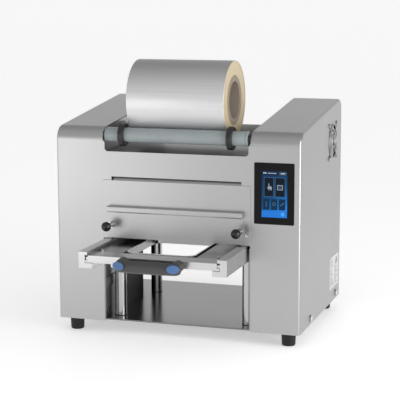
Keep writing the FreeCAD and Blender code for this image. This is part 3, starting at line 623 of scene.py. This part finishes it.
def linked(name, mesh):
    item = bpy.data.objects.new(name, mesh)
    bpy.context.scene.collection.objects.link(item)
    return item


def outer_skin():
    """Face, towers, sides and rear as one bent and welded sheet with rounded outer corners."""
    skin = linked("skin", merged_copy(SKIN_NODES[0]))
    for name in SKIN_NODES[1:]:
        boolean(skin, linked("part", merged_copy(name)), "UNION")
    boolean(skin, linked("envelope", envelope()), "INTERSECT")
    work = bmesh.new()
    work.from_mesh(skin.data)
    simplify(work, 0.005 * MM)
    # faces turned to the sides take the second material
    for face in work.faces:
        face.material_index = 1 if abs(face.normal.x) > 0.8 else 0
    work.to_mesh(skin.data)
    work.free()
    mesh = skin.data
    bpy.data.objects.remove(skin)
    # the side faces get a darker copy of the steel as painted shade, and their grain runs along Y
    looks = [SLOTS["brushed_steel"], brushed("brushed_steel_side_shaded", STEEL * 0.84, 0.30, ALONG_Y)]
    item = piece("outer_skin", mesh, "cabinet", "brushed_steel", looks, *SKIN_NODES)
    soften(item, 0.3 * MM, 40)


def inner_walls():
    """Walls beside the throat: darker steel near the front and a near-black finish round the rear of the
    throat, both painted shade.
    """
    # the near-black painted shade starts 45 mm behind the front of the columns
    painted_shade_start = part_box("columns")[0].y + 45 * MM
    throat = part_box("left_drawer_rail")[1].z + 30 * MM
    # painted shade: darker copies of the steel for the throat, dim near the front and near black further back
    near = brushed("throat_shaded_steel", 0.27, 0.30, ALONG_Y)
    dark = brushed("throat_painted_shade", 0.012, 0.42, ALONG_Y)
    looks = [SLOTS["brushed_steel"], near, dark]
    for label in ("left", "right"):
        name = label + "_inner_wall"
        work = bmesh.new()
        work.from_mesh(merged_copy(name))
        for point, normal in (((0, painted_shade_start, 0), (0, 1, 0)), ((0, 0, throat), (0, 0, 1))):
            everything = work.verts[:] + work.edges[:] + work.faces[:]
            bmesh.ops.bisect_plane(work, geom=everything, plane_co=point, plane_no=normal)
        for face in work.faces:
            middle = face.calc_center_median()
            # faces low in the throat take the painted shade: near black behind its start, dim steel in front
            # of it
            if middle.z < throat:
                face.material_index = 2 if middle.y > painted_shade_start else 1
        item = piece(name + "_sheet", finished(work, name), "cabinet", "brushed_steel", looks, name)
        soften(item, 0.25 * MM)


# ---------------------------------------------------------------- film roll and core

def bore_radius(name, centre):
    """Radius of the hole through a node along X."""
    return min(math.hypot(v.co.y - centre.y, v.co.z - centre.z) for v in NODES[name].data.vertices)


def wound_film(centre, radius, half, inner):
    """Film wound on its core: a satin sleeve with rounded rims, and cream ends."""
    lip = 0.7 * MM
    gap = 0.5 * MM
    sides = 128
    steps = 24
    bore = inner + gap
    # the wound ends bow in and out by a fraction of a millimetre
    end = []
    for i in range(steps + 1):
        bow = 0.35 * MM * math.sin(7 * i / steps) ** 2
        end.append((half - lip - bow, bore + (radius - lip - inner - gap) * i / steps))
    quarter = [math.radians(90 - 15 * i) for i in range(7)]
    rim = [(half - lip + lip * math.sin(a), radius - lip + lip * math.cos(a)) for a in quarter]
    sleeve = [end[-1]] + rim
    work = bmesh.new()
    lathe(work, [(-h, r) for h, r in end], "x", centre, sides, 1)
    lathe(work, end, "x", centre, sides, 1)
    lathe(work, sleeve + [(-h, r) for h, r in reversed(sleeve)], "x", centre, sides, 0)
    lathe(work, [(-end[0][0], bore), (end[0][0], bore)], "x", centre, sides, 1)
    bmesh.ops.remove_doubles(work, verts=work.verts, dist=0.01 * MM)
    piece("film_roll_wound", finished(work, "film_roll_wound", 60), "film_reel", "film",
          [SLOTS["film"], film_end(centre)], "film_roll")


def wound_core(centre, half, outer):
    """Board tube with slightly rounded rims."""
    bore = bore_radius("film_core", centre)
    bend = 0.8 * MM
    section = rounded([(-half, bore, bend), (half, bore, bend), (half, outer, bend), (-half, outer, bend)])
    work = bmesh.new()
    lathe(work, section, "x", centre, 96, 0, True)
    piece("film_core_wound", finished(work, "film_core_wound"), "film_reel", "cardboard",
          [wound_board(centre)], "film_core")


def film_roll():
    """Roll of film and the core that it is wound on, as large as their CAD nodes."""
    low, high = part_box("film_roll")
    core_low, core_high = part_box("film_core")
    centre = (low + high) / 2
    core_radius = (core_high.z - core_low.z) / 2
    wound_film(centre, (high.z - low.z) / 2, (high.x - low.x) / 2, core_radius)
    wound_core(centre, (core_high.x - core_low.x) / 2, core_radius)


# ---------------------------------------------------------------- handle, knobs and feet

def bow(work, reach, radius, centre):
    """Grip along X that thins a little outwards and has blunt ends."""
    tip = reach + 5 * MM
    thinning = 0.10
    shoulder, run_out = 0.86, 0.24
    profile = [(-tip, 0.0)]
    for i in range(25):
        h = -reach + 2 * reach * i / 24
        share = abs(h) / reach
        fall = max(0.0, (share - shoulder) / run_out)
        profile.append((h, radius * (1.0 - thinning * share ** 2) * math.sqrt(max(0.0, 1 - fall ** 2))))
    profile.append((tip, 0.0))
    lathe(work, profile, "x", centre, 40)


def handle():
    """Moulded bow handle: its grip and its two legs flow into each other."""
    low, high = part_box("drawer_handle")
    cap_low, cap_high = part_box("handle_caps")
    leg_z = (cap_low.z + cap_high.z) / 2
    leg_x = cap_high.x - (cap_high.z - cap_low.z) / 2
    grip_r = 12.5 * MM
    grip_y = low.y + 16.5 * MM
    depth = high.y - grip_y
    work = bmesh.new()
    bow(work, leg_x + 9 * MM, grip_r, (0, grip_y, low.z + grip_r))
    leg = [(-5 * MM, 0), (-4 * MM, 8 * MM), (0, 10.5 * MM), (12 * MM, 10.8 * MM),
           (depth - 6 * MM, 11.0 * MM), (depth, 12.0 * MM), (depth, 0)]
    for side in (-1, 1):
        lathe(work, leg, "y", (side * leg_x, grip_y, leg_z), 40)
    item = piece("bow_handle", finished(work, "bow_handle"), "drawer", "handle_grey", [SLOTS["handle_grey"]],
                 "drawer_handle")
    fuse = item.modifiers.new("fuse", "REMESH")
    fuse.mode = "VOXEL"
    fuse.voxel_size = 1.1 * MM
    relax = item.modifiers.new("relax", "SMOOTH")
    relax.factor = 0.6
    relax.iterations = 12
    bake(item)
    for vertex in item.data.vertices:
        vertex.co.y = min(vertex.co.y, high.y)
    item.data.shade_smooth()
    handle_caps(leg_x, cap_low.y + 3.6 * MM, leg_z - 0.5 * MM)


def handle_caps(leg_x, y, z):
    """Blue oval caps at the legs' front ends, domed and turned outwards."""
    wide, tall, thick = 12.4 * MM, 8.6 * MM, 1.6 * MM
    back = 1.2 * MM
    # unit radius, so that the disc can be stretched to an oval
    dome = [(-thick * (1 - (r / 10) ** 3), r / 10) for r in range(11)] + [(back, 1.0), (back, 0.0)]
    work = bmesh.new()
    for side in (-1, 1):
        start = len(work.verts)
        lathe(work, dome, "y", (0, 0, 0), 48)
        work.verts.ensure_lookup_table()
        turn = Matrix.Rotation(side * math.radians(15), 3, "Z") @ Matrix.Rotation(math.radians(10), 3, "X")
        for vertex in work.verts[start:]:
            flat = Vector((vertex.co.x * wide, vertex.co.y, vertex.co.z * tall))
            vertex.co = Vector((side * leg_x, y, z)) + turn @ flat
    mesh = finished(work, "cap_ovals", 50)
    piece("cap_ovals", mesh, "drawer", "blue_cap", [SLOTS["blue_cap"]], "handle_caps")


def knob(label):
    """Glossy ball on a short neck."""
    name = "pull_knob_" + label
    low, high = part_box(name)
    centre = (low + high) / 2
    radius = (high.x - low.x) / 2
    centre.y = low.y + radius
    neck = 4.6 * MM
    base = high.y - centre.y
    profile = [(-radius, 0.0)]
    for i in range(1, 25):
        angle = math.pi * i / 25
        if radius * math.sin(angle) < neck and angle > math.pi / 2:
            break
        profile.append((-radius * math.cos(angle), radius * math.sin(angle)))
    profile += [(radius * 0.90, neck), (base, neck * 0.97), (base, 0.0)]
    work = bmesh.new()
    lathe(work, profile, "y", centre, 48)
    piece(name + "_ball", finished(work, name), label + "_knob", "black_gloss", [SLOTS["black_gloss"]], name)


def feet():
    """Rubber feet: rounded at the floor, with a step at the top."""
    low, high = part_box("feet")
    radius = 15 * MM
    height = high.z
    step = height - 3 * MM
    neck = radius - 1 * MM
    outline = rounded([(0, 0.0), (0, radius - 1.2 * MM, 3 * MM), (step, radius, 0.4 * MM), (step, neck),
                       (height, neck), (height, 0.0)])
    work = bmesh.new()
    for x in (low.x + radius, high.x - radius):
        for y in (low.y + radius, high.y - radius):
            lathe(work, outline, "z", (x, y, 0), 48)
    piece("rubber_feet", finished(work, "rubber_feet"), "cabinet", "rubber", [SLOTS["rubber"]], "feet")


# ---------------------------------------------------------------- display and label

# looks of the display's fields, as the order of its materials
SCREEN, HEADER, TILE, SMALL_TILE, BAND, LINE, MARK, BUTTON = range(8)
# how far the fields stand out of the glass
GLASS_LIFT, BAND_LIFT, TILE_LIFT, LINE_LIFT, HAND_LIFT = 0.02 * MM, 0.05 * MM, 0.06 * MM, 0.08 * MM, 0.09 * MM


def display():
    """Glass-fronted touch display with a generic menu in thin raised fields."""
    low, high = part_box("display_screen")
    front = low.y
    wide, tall = high.x - low.x, high.z - low.z
    work = bmesh.new()

    def field(u1, v1, u2, v2, lift, look, bend=0.0):
        """Thin field; u runs to the right and v downwards, both 0 to 1 over the screen."""
        bottom, top = high.z - v2 * tall, high.z - v1 * tall
        outline = rectangle(bottom, low.x + u1 * wide, top, low.x + u2 * wide, bend)
        slab(work, outline, "y", front - lift, front + 0.1 * MM, look)

    def ruled(u1, v1, u2, v2, lift, look, line=0.012):
        """Thin line round a field."""
        flat = line * 0.55
        for sides in ((u1, v1, u2, v1 + flat), (u1, v2 - flat, u2, v2), (u1, v1, u1 + line, v2),
                      (u2 - line, v1, u2, v2)):
            field(*sides, lift, look)

    field(0, 0, 1, 1, GLASS_LIFT, SCREEN)
    field(0, 0, 1, 0.10, BAND_LIFT, HEADER)
    field(0, 0.855, 1, 1.0, BAND_LIFT, BAND)
    for tile in ((0.09, 0.14, 0.475, 0.555), (0.525, 0.14, 0.92, 0.555)):
        field(*tile, TILE_LIFT, TILE)
        ruled(*tile, LINE_LIFT, LINE)
    for left, right in ((0.06, 0.31), (0.365, 0.62), (0.675, 0.93)):
        field(left, 0.60, right, 0.835, TILE_LIFT, SMALL_TILE)
    # header: two plain marks, a dashed line and a framed counter
    field(0.06, 0.035, 0.11, 0.065, LINE_LIFT, MARK)
    field(0.125, 0.035, 0.18, 0.065, LINE_LIFT, MARK)
    for i in range(7):
        field(0.24 + 0.05 * i, 0.042, 0.272 + 0.05 * i, 0.062, LINE_LIFT, MARK)
    ruled(0.69, 0.018, 0.97, 0.085, LINE_LIFT, LINE)
    field(0.74, 0.040, 0.92, 0.064, LINE_LIFT, MARK)
    # pointing hand in the first tile: a long finger, three folded ones, the thumb and the palm
    for part in ((0.262, 0.275, 0.295, 0.375), (0.300, 0.325, 0.328, 0.385), (0.333, 0.332, 0.360, 0.39),
                 (0.365, 0.342, 0.390, 0.40), (0.215, 0.355, 0.262, 0.378), (0.262, 0.375, 0.39, 0.412)):
        ruled(*part, HAND_LIFT, MARK, 0.010)
    # list in the second tile
    ruled(0.61, 0.30, 0.83, 0.405, LINE_LIFT, MARK, 0.016)
    for i in range(4):
        field(0.64, 0.318 + 0.020 * i, 0.80, 0.327 + 0.020 * i, LINE_LIFT, LINE)
    # small tiles: a column of dashes, a dial and a rising graph
    for i in range(4):
        field(0.165, 0.665 + 0.030 * i, 0.205, 0.680 + 0.030 * i, LINE_LIFT, LINE)
    for i in range(10):
        angle = 2 * math.pi * i / 10
        u, v = 0.49 + 0.060 * math.cos(angle), 0.712 + 0.034 * math.sin(angle)
        field(u - 0.014, v - 0.008, u + 0.014, v + 0.008, LINE_LIFT, LINE)
    for i in range(5):
        u, v = 0.735 + 0.03 * i, 0.735 - 0.012 * i
        field(u, v - 0.012, u + 0.026, v + 0.010, LINE_LIFT, LINE)
    field(0.76, 0.885, 0.90, 0.965, LINE_LIFT, BUTTON, 1.5 * MM)
    looks = [SLOTS["screen"],
             glowing("screen_header", (0.002, 0.020, 0.060)),
             glowing("screen_tile", (0.000, 0.006, 0.016)),
             glowing("screen_small_tile", (0.000, 0.026, 0.075)),
             glowing("screen_band", (0.015, 0.200, 0.700)),
             glowing("screen_line", (0.09, 0.17, 0.27)),
             glowing("screen_mark", (0.50, 0.56, 0.66)),
             glowing("screen_button", (0.06, 0.38, 0.95))]
    piece("screen_menu", finished(work, "screen_menu"), "cabinet", "screen", looks, "display_screen")


def rating_label():
    """Foil label with ruled lines and generic rows of marks."""
    low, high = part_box("rating_label")
    face = high.x
    wide, tall = high.y - low.y, high.z - low.z
    seeded = random.Random(7)
    work = bmesh.new()
    foil, ink = 0, 1
    ink_lift = 0.04 * MM
    rules = (0.30, 0.58, 0.90)

    def field(u1, v1, u2, v2, lift, look):
        """Thin field on the right side; u runs to the rear and v downwards, both 0 to 1."""
        outline = [(low.y + u * wide, high.z - v * tall) for u, v in ((u1, v1), (u2, v1), (u2, v2), (u1, v2))]
        slab(work, outline, "x", low.x, face + lift, look)

    field(0, 0, 1, 1, 0, foil)
    for v in rules:
        field(0.04, v, 0.96, v + 0.008, ink_lift, ink)
    for row in range(16):
        v = 0.05 + 0.053 * row
        if any(abs(v - rule) < 0.03 for rule in rules):
            continue
        for column in (0.08, 0.56):
            # the upper right corner is kept for the symbol
            if row < 4 and column > 0.5:
                continue
            length = 0.14 + 0.20 * seeded.random()
            field(column, v, column + length, v + 0.018, ink_lift, ink)
    # plain stepped symbol of four bars
    for i in range(4):
        field(0.62 + 0.03 * i, 0.22 - 0.045 * i, 0.90 - 0.03 * i, 0.25 - 0.045 * i, ink_lift, ink)
    looks = [SLOTS["label_white"], plastic("label_ink", grey(0.10), 0.4)]
    piece("label_foil", finished(work, "label_foil"), "cabinet", "label_white", looks, "rating_label")


def fan_wires():
    """Wire guard of the fan: as in CAD, but smooth and with the skin's finish."""
    mesh = merged_copy("fan_guard")
    mesh.shade_smooth()
    mesh.set_sharp_from_angle(angle=math.radians(50))
    piece("fan_guard_soft", mesh, "cabinet", "polished_steel", [SLOTS["brushed_steel"]], "fan_guard")


# ---------------------------------------------------------------- build

studio()
camera()
SLOTS = slot_materials()
for name, item in NODES.items():
    for slot in item.material_slots:
        slot.material = SLOTS[SLOT_OF[name]]

outer_skin()
inner_walls()
film_roll()
handle()
knob("left")
knob("right")
feet()
display()
rating_label()

MODELLED = {*SKIN_NODES, "left_inner_wall", "right_inner_wall", "film_roll", "film_core", "drawer_handle",
            "handle_caps", "pull_knob_left", "pull_knob_right", "feet", "display_screen", "rating_label",
            "fan_guard"}
# how wide the edges are rounded, in millimetres
USUAL_WIDTH = 0.4
WIDTHS = {"roller_collars": 1.4, "front_panel": 0.3, "guard_plate": 0.35, "tray_nest": 0.6,
          "left_drawer_rail": 0.6, "right_drawer_rail": 0.6, "display_bezel": 0.3, "control_board": 0.1,
          "column_seals": 0.2, "drawer_pins": 0.3, "mould_plate": 0.5}
# the bay deck's finish is a dark copy of the steel, as painted shade in the bay under the film roll
FINISHES = {"film_bay_deck": brushed("deck_shaded_steel", 0.20, 0.34, ALONG_X),
            "columns": metal("column_steel", 0.48, 0.225),
            "tray_nest": nest_finish()}
for name in sorted(set(NODES) - MODELLED):
    softened(name, WIDTHS.get(name, USUAL_WIDTH) * MM, FINISHES.get(name, SLOTS[SLOT_OF[name]]))
fan_wires()
